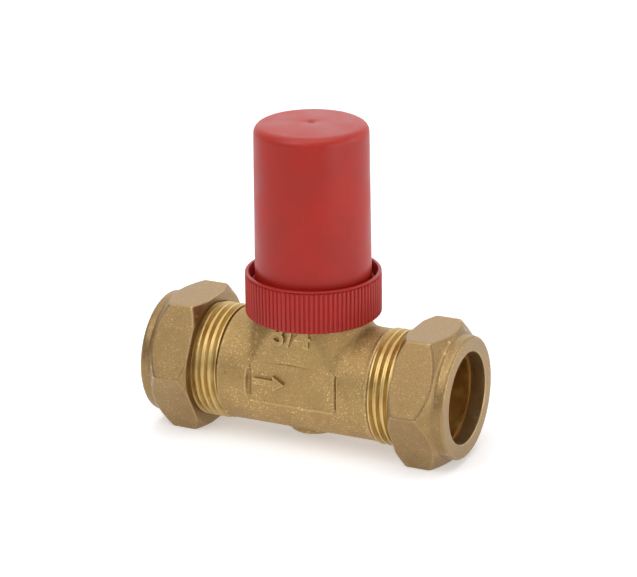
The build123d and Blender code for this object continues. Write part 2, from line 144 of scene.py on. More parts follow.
def named(name: str) -> bpy.types.Object:
    """Name the object that was just added, settle its transform and return it.

    Args:
        name: The piece's name.

    Returns:
        The active object, at the origin, unturned and unscaled.
    """
    piece = bpy.context.object
    piece.name = name
    piece.data.name = name
    bpy.ops.object.transform_apply(location=True, rotation=True, scale=True)
    return piece


def clean_and_shade(piece: bpy.types.Object, degrees: float) -> None:
    """Merge the slivers that cutting leaves, then shade smooth, apart from sharp edges.

    Args:
        piece: The object to shade.
        degrees: The angle from which an edge stays sharp.
    """
    take(piece)
    bpy.ops.object.mode_set(mode="EDIT")
    bpy.ops.mesh.select_all(action="SELECT")
    bpy.ops.mesh.remove_doubles(threshold=SLIVER)
    bpy.ops.object.mode_set(mode="OBJECT")
    bpy.ops.object.shade_smooth_by_angle(angle=math.radians(degrees))


def place(point: Point, along: Along, height: float) -> Vector:
    """Put an (along, radius) outline point into the frame.

    Args:
        point: Station along the axis and radius from it.
        along: The axis that the outline is turned about.
        height: Height of the run's axis over the origin, used for outlines along the run.

    Returns:
        The point in the XZ plane.
    """
    station, radius = point
    if along is Along.RUN:
        return Vector((station, 0.0, height + radius))
    return Vector((radius, 0.0, station))


def draw_chain(corners: Sequence[Vector], closed: bool) -> bpy.types.Object:
    """Draw a chain of edges by extruding one vertex from corner to corner.

    Args:
        corners: Where the chain goes.
        closed: Whether its last corner is joined back to the first.

    Returns:
        The chain, still in edit mode with nothing else in it.
    """
    deselect()
    bpy.ops.mesh.primitive_plane_add(size=MM, location=(0, 0, 0))
    chain = bpy.context.object
    bpy.ops.object.mode_set(mode="EDIT")
    bpy.ops.mesh.select_mode(type="VERT")
    bpy.ops.mesh.select_all(action="SELECT")
    bpy.ops.mesh.merge(type="CENTER")
    bpy.ops.transform.translate(value=corners[0])
    for start, end in zip(corners, corners[1:]):
        bpy.ops.mesh.extrude_region_move(TRANSFORM_OT_translate={"value": end - start})
    if closed:
        bpy.ops.mesh.extrude_region_move(
            TRANSFORM_OT_translate={"value": corners[0] - corners[-1]}
        )
        bpy.ops.mesh.select_all(action="SELECT")
        bpy.ops.mesh.remove_doubles(threshold=SAME_CORNER)
    return chain


def lathe(
    name: str, outline: Sequence[Point], along: Along, height: float = 0.0, steps: int = 128
) -> bpy.types.Object:
    """Turn a closed solid from half its outline.

    Args:
        name: The piece's name.
        outline: (along, radius) corners in metres. A solid one starts and ends on the axis.
        along: The axis to turn it about.
        height: Height of the run's axis, for pieces along the run.
        steps: Facets round the axis.

    Returns:
        The turned solid.
    """
    corners = [place(point, along, height) for point in outline]
    on_axis = outline[0][1] == 0 and outline[-1][1] == 0
    draw_chain(corners, closed=not on_axis)
    axis = (1, 0, 0) if along is Along.RUN else (0, 0, 1)
    centre = (0, 0, height) if along is Along.RUN else (0, 0, 0)
    bpy.ops.mesh.select_all(action="SELECT")
    bpy.ops.mesh.spin(steps=steps, angle=FULL_TURN, center=centre, axis=axis)
    bpy.ops.mesh.select_all(action="SELECT")
    bpy.ops.mesh.remove_doubles(threshold=SAME_CORNER)
    bpy.ops.mesh.normals_make_consistent(inside=False)
    bpy.ops.object.mode_set(mode="OBJECT")
    return named(name)


def rod(
    name: str, along: Along, start: float, end: float, radius: float, height: float = 0.0
) -> bpy.types.Object:
    """A plain round solid between two stations, for building or cutting.

    Args:
        name: The solid's name.
        along: Its axis.
        start: Where it starts along the axis.
        end: Where it ends.
        radius: Its radius.
        height: Height of the run's axis, for rods along the run.

    Returns:
        The rod.
    """
    return lathe(name, [(start, 0), (start, radius), (end, radius), (end, 0)], along, height)


def slab(name: str, low: Vector, high: Vector) -> bpy.types.Object:
    """A block between two corners, for building or cutting.

    Args:
        name: The block's name.
        low: Its lowest corner.
        high: Its highest corner.

    Returns:
        The block.
    """
    deselect()
    bpy.ops.mesh.primitive_cube_add(size=1, location=(low + high) / 2, scale=high - low)
    return named(name)


def prism(
    name: str,
    outline: Sequence[Point],
    y_start: float,
    y_end: float,
    flare: tuple[float, float, float] = (1.0, 1.0, 1.0),
) -> bpy.types.Object:
    """A solid that carries an outline of the XZ plane along Y, and may widen on the way.

    Args:
        name: The solid's name.
        outline: (x, z) corners.
        y_start: Where it starts.
        y_end: Where it ends.
        flare: How many times wider it is at its end, along X, Y and Z.

    Returns:
        The prism.
    """
    draw_chain([Vector((x, y_start, z)) for x, z in outline], closed=True)
    bpy.ops.mesh.select_all(action="SELECT")
    bpy.ops.mesh.edge_face_add()
    bpy.ops.mesh.extrude_region_move(TRANSFORM_OT_translate={"value": (0, y_end - y_start, 0)})
    middle = [sum(corner[i] for corner in outline) / len(outline) for i in range(2)]
    bpy.ops.transform.resize(value=flare, center_override=(middle[0], y_end, middle[1]))
    bpy.ops.mesh.select_all(action="SELECT")
    bpy.ops.mesh.normals_make_consistent(inside=False)
    bpy.ops.object.mode_set(mode="OBJECT")
    return named(name)


def hexagon(
    name: str, along: Along, start: float, end: float, across_flats: float, height: float = 0.0
) -> bpy.types.Object:
    """A hexagon bar with its corners towards +Y and -Y.

    Args:
        name: The bar's name.
        along: Its axis.
        start: Where it starts along the axis.
        end: Where it ends.
        across_flats: Distance between opposite flats.
        height: Height of the run's axis, for bars along the run.

    Returns:
        The bar.
    """
    middle = place(((start + end) / 2, 0), along, height)
    turn = (0, math.pi / 2, 0) if along is Along.RUN else (0, 0, 0)
    deselect()
    bpy.ops.mesh.primitive_cylinder_add(
        vertices=6, radius=across_flats / math.sqrt(3), depth=end - start,
        location=middle, rotation=turn,
    )
    return named(name)


def numerals(
    name: str, text: str, size: float, middle: Vector, depth: float, weight: float
) -> bpy.types.Object:
    """Solid figures that stand upright and face -Y.

    Args:
        name: The solid's name.
        text: Plain figures.
        size: Height of the type.
        middle: Where the middle of the figures is.
        depth: How far they reach, front to back.
        weight: How much fatter their strokes are, as a share of the size.

    Returns:
        The figures as one mesh.
    """
    deselect()
    bpy.ops.object.text_add(location=middle, rotation=(math.pi / 2, 0, 0))
    figures = bpy.context.object
    figures.data.body = text
    figures.data.size = size
    figures.data.align_x = "CENTER"
    figures.data.align_y = "CENTER"
    figures.data.extrude = depth / 2
    figures.data.offset = weight * size
    take(figures)
    bpy.ops.object.convert(target="MESH")
    return named(name)


def cad_copy(node: str, name: str) -> bpy.types.Object:
    """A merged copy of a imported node, to cut tools from. The node itself is left alone.

    Args:
        node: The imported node.
        name: The copy's name.

    Returns:
        The copy, with a mesh of its own.
    """
    source = frame["nodes"][node]
    copy = bpy.data.objects.new(name, source.data.copy())
    bpy.context.scene.collection.objects.link(copy)
    take(copy)
    bpy.ops.object.mode_set(mode="EDIT")
    bpy.ops.mesh.select_all(action="SELECT")
    bpy.ops.mesh.customdata_custom_splitnormals_clear()
    bpy.ops.mesh.remove_doubles(threshold=CAD_SAME_CORNER)
    bpy.ops.object.mode_set(mode="OBJECT")
    copy.data.materials.clear()
    return copy


def mark_group(
    piece: bpy.types.Object, group: str, weight_of: Callable[[Vector], float]
) -> None:
    """Weight a piece's vertices by their place.

    Args:
        piece: The object to mark.
        group: The vertex group's name.
        weight_of: Gives a vertex's weight, from 0 to 1.
    """
    marked = piece.vertex_groups.new(name=group)
    for vertex in piece.data.vertices:
        weight = weight_of(vertex.co)
        if weight > 0:
            marked.add([vertex.index], weight, "REPLACE")


def forge(piece: bpy.types.Object, grain: float, passes: int) -> None:
    """Turn a sharp solid into one with the soft edges of a forging.

    Args:
        piece: The solid.
        grain: Edge length of the new surface's faces.
        passes: How many times the surface is eased.
    """
    apply_modifier(piece, "REMESH", mode="VOXEL", voxel_size=grain, use_smooth_shade=True)
    apply_modifier(piece, "SMOOTH", factor=EASE, iterations=passes)


# ---------------------------------------------------------------------------------------------
# Finishes: effects shared by several materials, then one class for each finish
# ---------------------------------------------------------------------------------------------

class Wiring:
    """Short hand for placing and joining the nodes of one tree."""

    def __init__(self, tree: bpy.types.NodeTree) -> None:
        """Keep the tree to work on."""
        self.tree = tree

    def node(self, kind: str, **settings: object) -> bpy.types.Node:
        """Add a node.

        Args:
            kind: The node's type name, without "ShaderNode".
            **settings: Values for the node's own properties.

        Returns:
            The new node.
        """
        made = self.tree.nodes.new("ShaderNode" + kind)
        for setting, value in settings.items():
            setattr(made, setting, value)
        return made

    def join(self, source: bpy.types.NodeSocket, target: bpy.types.NodeSocket) -> None:
        """Link one socket to another."""
        self.tree.links.new(source, target)

    def maths(
        self,
        operation: str,
        first: bpy.types.NodeSocket | float,
        second: bpy.types.NodeSocket | float = 0.0,
        clamp: bool = False,
    ) -> bpy.types.NodeSocket:
        """Work out one value from two.

        Args:
            operation: The Math node's operation.
            first: A socket or a number.
            second: A socket or a number.
            clamp: Whether the result is kept from 0 to 1.

        Returns:
            The result's socket.
        """
        made = self.node("Math", operation=operation, use_clamp=clamp)
        for value, socket in zip((first, second), made.inputs):
            if isinstance(value, bpy.types.NodeSocket):
                self.join(value, socket)
            else:
                socket.default_value = value
        return made.outputs[0]

    def noise(
        self,
        vector: bpy.types.NodeSocket,
        scale: bpy.types.NodeSocket | float,
        detail: float,
        roughness: float = 0.55,
    ) -> bpy.types.NodeSocket:
        """Add a noise texture.

        Args:
            vector: Where its coordinates come from.
            scale: Features per metre, as a socket or a number.
            detail: How many finer layers it has.
            roughness: How strong the finer layers are.

        Returns:
            Its value's socket.
        """
        made = self.node("TexNoise")
        self.join(vector, made.inputs["Vector"])
        if isinstance(scale, bpy.types.NodeSocket):
            self.join(scale, made.inputs["Scale"])
        else:
            made.inputs["Scale"].default_value = scale
        made.inputs["Detail"].default_value = detail
        made.inputs["Roughness"].default_value = roughness
        return made.outputs["Fac"]

    def spread(
        self, value: bpy.types.NodeSocket, low: float, high: float
    ) -> bpy.types.NodeSocket:
        """Stretch a value so that low becomes 0 and high becomes 1, softly and clamped.

        Args:
            value: The value to stretch.
            low: What becomes 0.
            high: What becomes 1.

        Returns:
            The stretched value's socket.
        """
        made = self.node("MapRange", interpolation_type="SMOOTHSTEP", clamp=True)
        self.join(value, made.inputs["Value"])
        made.inputs["From Min"].default_value = low
        made.inputs["From Max"].default_value = high
        return made.outputs["Result"]

    def blend(
        self, mask: bpy.types.NodeSocket, first: object, second: object
    ) -> bpy.types.NodeSocket:
        """Mix two colours by a mask.

        Args:
            mask: 0 gives the first colour and 1 the second.
            first: A colour or a colour socket.
            second: A colour or a colour socket.

        Returns:
            The mixed colour's socket.
        """
        made = self.node("Mix", data_type="RGBA")
        self.join(mask, made.inputs["Factor"])
        for value, socket in ((first, made.inputs[6]), (second, made.inputs[7])):
            if isinstance(value, bpy.types.NodeSocket):
                self.join(value, socket)
            else:
                socket.default_value = (*value, 1.0)
        return made.outputs[2]


def linear(red: int, green: int, blue: int) -> Colour:
    """Turn a colour of the sRGB scale, 0 to 255, into linear light.

    Args:
        red: Red, as displayed.
        green: Green, as displayed.
        blue: Blue, as displayed.

    Returns:
        The linear colour.
    """
    shares = [channel / 255 for channel in (red, green, blue)]
    return tuple(s / 12.92 if s <= 0.04045 else ((s + 0.055) / 1.055) ** 2.4 for s in shares)


def effect(
    name: str, inputs: dict[str, float | None], outputs: Sequence[str]
) -> tuple[bpy.types.NodeTree, Wiring, bpy.types.Node, bpy.types.Node]:
    """Start a node group with named sockets.

    Args:
        name: The effect's name.
        inputs: Each number input's name and usual value, or None for a vector input.
        outputs: The names of its value outputs.

    Returns:
        The group, its wiring, and its input and output nodes.
    """
    tree = bpy.data.node_groups.new(name, "ShaderNodeTree")
    for label, value in inputs.items():
        kind = "NodeSocketVector" if value is None else "NodeSocketFloat"
        socket = tree.interface.new_socket(name=label, in_out="INPUT", socket_type=kind)
        if value is not None:
            socket.default_value = value
    for label in outputs:
        tree.interface.new_socket(name=label, in_out="OUTPUT", socket_type="NodeSocketFloat")
    start = tree.nodes.new("NodeGroupInput")
    end = tree.nodes.new("NodeGroupOutput")
    return tree, Wiring(tree), start, end


def sand_cast_grain() -> bpy.types.NodeTree:
    """The fine skin of a blasted forging: height, soft speckle, dark pits, and bright specks that
    carry painted glints.

    Returns:
        The node group.
    """
    tree, w, start, end = effect(
        "sand_grain", {"Vector": None, "Grains per metre": 2200.0},
        ("Height", "Speckle", "GlintSpecks", "Pits"),
    )
    vector, scale = start.outputs["Vector"], start.outputs["Grains per metre"]
    coarse = w.noise(vector, scale, detail=2.0)
    fine = w.noise(vector, w.maths("MULTIPLY", scale, 2.3), detail=1.0)
    pits = w.node("TexVoronoi", feature="SMOOTH_F1")
    w.join(vector, pits.inputs["Vector"])
    w.join(w.maths("MULTIPLY", scale, 1.4), pits.inputs["Scale"])
    pebbles = w.maths("MULTIPLY", pits.outputs["Distance"], 0.5)
    w.join(w.maths("ADD", w.maths("ADD", coarse, pebbles), w.maths("MULTIPLY", fine, 0.4)),
           end.inputs["Height"])
    w.join(w.spread(w.maths("ADD", coarse, w.maths("MULTIPLY", fine, 0.7)), 0.62, 1.08),
           end.inputs["Speckle"])
    sparse = w.noise(vector, w.maths("MULTIPLY", scale, 0.6), detail=1.0)
    w.join(w.spread(sparse, 0.59, 0.69), end.inputs["GlintSpecks"])
    w.join(w.maths("SUBTRACT", 1.0, w.spread(sparse, 0.24, 0.33)), end.inputs["Pits"])
    return tree


def colour_drift() -> bpy.types.NodeTree:
    """Broad, soft patches, such as uneven heat or handling leaves.

    Returns:
        The node group.
    """
    tree, w, start, end = effect("colour_drift", {"Vector": None, "Patches per metre": 140.0},
                                 ("Patches",))
    patches = w.noise(start.outputs["Vector"], start.outputs["Patches per metre"], detail=3.0)
    w.join(w.spread(patches, 0.34, 0.68), end.inputs["Patches"])
    return tree


def edge_light_and_shade() -> bpy.types.NodeTree:
    """Masks of the ridges, which get a painted highlight that also stands for rub wear, and of the
    hollows, which get painted shade.

    Returns:
        The node group.
    """
    tree, w, _, end = effect("edge_light_and_shade", {}, ("Ridges", "Hollows"))
    shape = w.node("NewGeometry").outputs["Pointiness"]
    w.join(w.spread(shape, 0.505, 0.56), end.inputs["Ridges"])
    w.join(w.maths("SUBTRACT", 1.0, w.spread(shape, 0.44, 0.495)), end.inputs["Hollows"])
    return tree


def turning_lines() -> bpy.types.NodeTree:
    """Fine rings that a lathe's tool leaves about the Z axis of the given coordinates.

    Returns:
        The node group.
    """
    tree, w, start, end = effect("turning_lines", {"Vector": None, "Lines per metre": 5000.0},
                                 ("Height",))
    parts = w.node("SeparateXYZ")
    w.join(start.outputs["Vector"], parts.inputs[0])
    squares = [w.maths("MULTIPLY", parts.outputs[i], parts.outputs[i]) for i in range(2)]
    radius = w.maths("SQRT", w.maths("ADD", *squares))
    rings = w.node("CombineXYZ")
    w.join(radius, rings.inputs[0])
    w.join(parts.outputs[2], rings.inputs[1])
    w.join(w.noise(rings.outputs[0], start.outputs["Lines per metre"], detail=1.0),
           end.inputs["Height"])
    return tree


def moulded_skin() -> bpy.types.NodeTree:
    """The satin skin of moulded plastic: a faint orange peel and sparse rub streaks.

    Returns:
        The node group.
    """
    tree, w, start, end = effect("moulded_skin", {"Vector": None}, ("Height", "Rubbed"))
    vector = start.outputs["Vector"]
    w.join(w.noise(vector, 2600.0, detail=3.0), end.inputs["Height"])
    drawn = w.node("Mapping", vector_type="POINT")
    drawn.inputs["Scale"].default_value = (1.0, 1.0, 0.18)
    w.join(vector, drawn.inputs["Vector"])
    w.join(w.spread(w.noise(drawn.outputs[0], 900.0, detail=4.0), 0.6, 0.74),
           end.inputs["Rubbed"])
    return tree


class Effect(Enum):
    """The shared effects, each built once and placed in any finish that shows it."""

    SAND_GRAIN = "sand_grain"
    COLOUR_DRIFT = "colour_drift"
    WORN_EDGES = "edge_light_and_shade"
    TURNING_LINES = "turning_lines"
    MOULDED_SKIN = "moulded_skin"


MAKERS: dict[Effect, Callable[[], bpy.types.NodeTree]] = {
    Effect.SAND_GRAIN: sand_cast_grain,
    Effect.COLOUR_DRIFT: colour_drift,
    Effect.WORN_EDGES: edge_light_and_shade,
    Effect.TURNING_LINES: turning_lines,
    Effect.MOULDED_SKIN: moulded_skin,
}


@dataclass
class Surface:
    """One material under construction: its wiring, its shader and its coordinates."""

    name: str
    material: bpy.types.Material = field(init=False)
    wiring: Wiring = field(init=False)
    shader: bpy.types.Node = field(init=False)
    place: bpy.types.NodeSocket = field(init=False)

    def __post_init__(self) -> None:
        """Start the material with a shader, its output and Object coordinates."""
        self.material = bpy.data.materials.new(self.name)
        self.material.use_nodes = True
        tree = self.material.node_tree
        tree.nodes.clear()
        self.wiring = Wiring(tree)
        self.shader = self.wiring.node("BsdfPrincipled")
        output = self.wiring.node("OutputMaterial")
        self.wiring.join(self.shader.outputs[0], output.inputs["Surface"])
        self.place = self.wiring.node("TexCoord").outputs["Object"]

    def shared(self, which: Effect, **values: float) -> bpy.types.Node:
        """Place a shared effect in this material.

        Args:
            which: The effect.
            **values: Its own numbers, by input name with _ for spaces.

        Returns:
            The group's node.
        """
        tree = bpy.data.node_groups.get(which.value) or MAKERS[which]()
        group = self.wiring.node("Group")
        group.node_tree = tree
        if "Vector" in group.inputs:
            self.wiring.join(self.place, group.inputs["Vector"])
        for label, value in values.items():
            group.inputs[label.replace("_", " ")].default_value = value
        return group

    def bump(self, height: bpy.types.NodeSocket, depth: float, strength: float) -> None:
        """Feed a height to the shader's normal.

        Args:
            height: The height's socket, 0 to 1.
            depth: How deep 1 is, in metres.
            strength: How much of it shows.
        """
        node = self.wiring.node("Bump")
        node.inputs["Distance"].default_value = depth
        node.inputs["Strength"].default_value = strength
        self.wiring.join(height, node.inputs["Height"])
        self.wiring.join(node.outputs[0], self.shader.inputs["Normal"])

    def ranged(self, mask: bpy.types.NodeSocket, low: float, high: float, socket: str) -> None:
        """Let a mask move one of the shader's values between two numbers.

        Args:
            mask: The mask, 0 to 1.
            low: The value where it is 0.
            high: The value where it is 1.
            socket: The shader's socket.
        """
        span = self.wiring.maths("MULTIPLY", mask, high - low)
        self.wiring.join(self.wiring.maths("ADD", span, low), self.shader.inputs[socket])


@dataclass(frozen=True)
class ForgedBrass:
    """Brass as it comes from the forge and the blasting cabinet, dull and pebbly; its glints, ridge
    highlights and hollow shade are painted.
    """

    name: str = "forged_brass"
    light: Colour = linear(189, 157, 104)
    dark: Colour = linear(160, 130, 81)
    # The bright colour paints glints on the specks and highlights on the ridges.
    bright: Colour = linear(246, 224, 168)
    # The darkest colour darkens the pits and paints shade into the hollows.
    pit_and_hollow_shade: Colour = linear(92, 66, 38)
    grains_per_metre: float = 3800.0
    grain_depth: float = 0.12 * MM
    grain_strength: float = 0.6
    sparkle: float = 0.65
    plain_sparkle: float = 0.2
    # How much painted shade the hollows and creases get.
    hollow_shade: float = 0.3
    # How much painted highlight, which also stands for rub wear, the ridges get.
    ridge_highlight: float = 0.45
    rough: tuple[float, float] = (0.46, 0.6)
    metal: float = 0.85

    def make(self) -> bpy.types.Material:
        """Build the material.

        Returns:
            The finished material.
        """
        surface = Surface(self.name)
        w = surface.wiring
        grain = surface.shared(Effect.SAND_GRAIN, Grains_per_metre=self.grains_per_metre)
        drift = surface.shared(Effect.COLOUR_DRIFT)
        edges = surface.shared(Effect.WORN_EDGES)
        shade = w.maths("ADD", w.maths("MULTIPLY", grain.outputs["Speckle"], 0.5),
                        w.maths("MULTIPLY", drift.outputs["Patches"], 0.5), clamp=True)
        skin = w.blend(shade, self.dark, self.light)
        pitted = w.blend(w.maths("MULTIPLY", grain.outputs["Pits"], self.sparkle), skin,
                         self.pit_and_hollow_shade)
        # Painted glints: bright specks, livelier in some patches, lighten the grain.
        lively = w.maths("MULTIPLY", drift.outputs["Patches"], 1.0 - self.plain_sparkle)
        lit = w.maths("MULTIPLY", grain.outputs["GlintSpecks"],
                      w.maths("ADD", lively, self.plain_sparkle))
        flecked = w.blend(w.maths("MULTIPLY", lit, self.sparkle), pitted, self.bright)
        # Painted shade: hollows and creases are darkened towards the darkest colour.
        hollow_shaded = w.blend(w.maths("MULTIPLY", edges.outputs["Hollows"], self.hollow_shade),
                        flecked, self.pit_and_hollow_shade)
        # Painted highlight: ridges and edges are lightened towards the bright colour, which also
        # stands for rub wear.
        ridge_lit = w.blend(w.maths("MULTIPLY", edges.outputs["Ridges"], self.ridge_highlight), hollow_shaded,
                       self.bright)
        w.join(ridge_lit, surface.shader.inputs["Base Color"])
        surface.shader.inputs["Metallic"].default_value = self.metal
        surface.ranged(drift.outputs["Patches"], *self.rough, "Roughness")
        surface.bump(grain.outputs["Height"], self.grain_depth, self.grain_strength)
        return surface.material


@dataclass(frozen=True)
class TurnedBrass:
    """Bright brass fresh from the lathe, with the tool's rings on it."""

    name: str
    bright: Colour = linear(222, 198, 140)
    deep: Colour = linear(192, 162, 104)
    along: Along = Along.SPINDLE
    axis_height: float = 0.0
    lines_per_metre: float = 5200.0
    line_depth: float = 0.02 * MM
    line_strength: float = 0.5
    line_shade: float = 0.4
    patches_per_metre: float = 210.0
    rough: tuple[float, float] = (0.36, 0.5)

    def make(self) -> bpy.types.Material:
        """Build the material.

        Returns:
            The finished material.
        """
        surface = Surface(self.name)
        w = surface.wiring
        drift = surface.shared(Effect.COLOUR_DRIFT, Patches_per_metre=self.patches_per_metre)
        if self.along is Along.RUN:
            turned = w.node("Mapping", vector_type="TEXTURE")
            turned.inputs["Location"].default_value = (0.0, 0.0, self.axis_height)
            turned.inputs["Rotation"].default_value = (0.0, math.pi / 2, 0.0)
            w.join(surface.place, turned.inputs["Vector"])
            surface.place = turned.outputs[0]
        lines = surface.shared(Effect.TURNING_LINES, Lines_per_metre=self.lines_per_metre)
        mixed = w.maths("ADD", w.maths("MULTIPLY", drift.outputs["Patches"],
                                       1.0 - self.line_shade),
                        w.maths("MULTIPLY", lines.outputs["Height"], self.line_shade), clamp=True)
        w.join(w.blend(mixed, self.deep, self.bright), surface.shader.inputs["Base Color"])
        surface.shader.inputs["Metallic"].default_value = 1.0
        surface.ranged(drift.outputs["Patches"], *self.rough, "Roughness")
        surface.bump(lines.outputs["Height"], self.line_depth, self.line_strength)
        return surface.material


@dataclass(frozen=True)
class MouldedPlastic:
    """Satin moulded plastic with a faint peel, a few rub streaks and painted highlights on its
    ridges.
    """

    name: str
    colour: Colour
    # This colour marks the rub streaks and paints highlights along the ridges.
    rub_and_highlight: Colour
    rough: tuple[float, float] = (0.34, 0.46)
    peel_depth: float = 0.02 * MM
    peel_strength: float = 0.35
    patches_per_metre: float = 90.0
    patch_shade: float = 0.86
    rubbed_share: float = 0.04
    # How much painted highlight the ridges get.
    ridge_highlight: float = 0.3
    shine: float = 0.34

    def make(self) -> bpy.types.Material:
        """Build the material.

        Returns:
            The finished material.
        """
        surface = Surface(self.name)
        w = surface.wiring
        skin = surface.shared(Effect.MOULDED_SKIN)
        drift = surface.shared(Effect.COLOUR_DRIFT, Patches_per_metre=self.patches_per_metre)
        edges = surface.shared(Effect.WORN_EDGES)
        deeper = tuple(channel * self.patch_shade for channel in self.colour)
        body = w.blend(drift.outputs["Patches"], deeper, self.colour)
        # Rub streaks, and a painted highlight along ridges and edges, lighten the plastic.
        marks = w.maths("ADD", w.maths("MULTIPLY", skin.outputs["Rubbed"], self.rubbed_share),
                        w.maths("MULTIPLY", edges.outputs["Ridges"], self.ridge_highlight), clamp=True)
        w.join(w.blend(marks, body, self.rub_and_highlight), surface.shader.inputs["Base Color"])
        surface.shader.inputs["Specular IOR Level"].default_value = self.shine
        surface.ranged(drift.outputs["Patches"], *self.rough, "Roughness")
        surface.bump(skin.outputs["Height"], self.peel_depth, self.peel_strength)
        return surface.material


@dataclass(frozen=True)
class PlainStuff:
    """Small inner parts of rubber, yarn, nylon or steel, with a little grain and drift."""

    name: str
    light: Colour
    dark: Colour
    metal: float
    rough: tuple[float, float]
    grain_depth: float = 0.03 * MM
    grain_strength: float = 0.4
    grains_per_metre: float = 3600.0
    patches_per_metre: float = 300.0

    def make(self) -> bpy.types.Material:
        """Build the material.

        Returns:
            The finished material.
        """
        surface = Surface(self.name)
        w = surface.wiring
        grain = surface.shared(Effect.SAND_GRAIN, Grains_per_metre=self.grains_per_metre)
        drift = surface.shared(Effect.COLOUR_DRIFT, Patches_per_metre=self.patches_per_metre)
        shade = w.maths("ADD", w.maths("MULTIPLY", grain.outputs["Speckle"], 0.5),
                        w.maths("MULTIPLY", drift.outputs["Patches"], 0.5), clamp=True)
        w.join(w.blend(shade, self.dark, self.light), surface.shader.inputs["Base Color"])
        surface.shader.inputs["Metallic"].default_value = self.metal
        surface.ranged(drift.outputs["Patches"], *self.rough, "Roughness")
        surface.bump(grain.outputs["Height"], self.grain_depth, self.grain_strength)
        return surface.material


class FinishBook:
    """Every finish on the valve, under the record's slot names."""

    def __init__(self, run_height: float) -> None:
        """Make the materials once.

        Args:
            run_height: Height of the run's axis, which the turned ends' rings go round.
        """
        red = linear(178, 39, 27)
        # This colour marks rub streaks and paints highlights along the hood's ridges.
        rub_and_highlight = linear(214, 96, 84)
        makers = [
            ForgedBrass(),
            ForgedBrass(
                name="nut_brass", light=linear(165, 135, 91), dark=linear(138, 112, 72),
                # The nut's darkest colour also paints shade into its hollows.
                bright=linear(222, 194, 150), pit_and_hollow_shade=linear(96, 70, 44), sparkle=0.42,
                grains_per_metre=3800.0, grain_depth=0.05 * MM, grain_strength=0.45,
                rough=(0.34, 0.46), metal=0.9,
            ),
            TurnedBrass(name="turned_ends", along=Along.RUN, axis_height=run_height),
            TurnedBrass(name="machined_brass"),
            TurnedBrass(name="olive_brass", along=Along.RUN, axis_height=run_height,
                        bright=linear(224, 190, 116), deep=linear(184, 144, 80)),
            MouldedPlastic("hood_plastic", colour=red, rub_and_highlight=rub_and_highlight),
            MouldedPlastic("ring_plastic", colour=linear(168, 22, 15),
                           # The ring's rub colour also paints highlights along its ribs and edges.
                           rub_and_highlight=linear(208, 78, 66), rough=(0.36, 0.48)),
            PlainStuff("white_nylon", linear(236, 234, 226), linear(214, 210, 200), 0.0,
                       (0.35, 0.5)),
            PlainStuff("ptfe_packing", linear(232, 230, 224), linear(196, 192, 184), 0.0,
                       (0.5, 0.7), 0.08 * MM),
            PlainStuff("black_rubber", linear(48, 47, 46), linear(26, 26, 25), 0.0,
                       (0.5, 0.7)),
            PlainStuff("spring_steel", linear(190, 190, 192), linear(140, 140, 144), 1.0,
                       (0.25, 0.4)),
        ]
        self.materials = {maker.name: maker.make() for maker in makers}

    def dress(self, piece: bpy.types.Object, finish: str, record_slot: str = "") -> None:
        """Give a piece one finish all over.

        Args:
            piece: The piece.
            finish: The finish's name.
            record_slot: The record's slot, where it isn't the finish's own name. Not used.
        """
        if "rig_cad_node" in piece:
            for slot in piece.material_slots:
                slot.link = "OBJECT"
                slot.material = self.materials[finish]
            return
        piece.data.materials.clear()
        piece.data.materials.append(self.materials[finish])


# ---------------------------------------------------------------------------------------------
# Sub-assemblies
# ---------------------------------------------------------------------------------------------

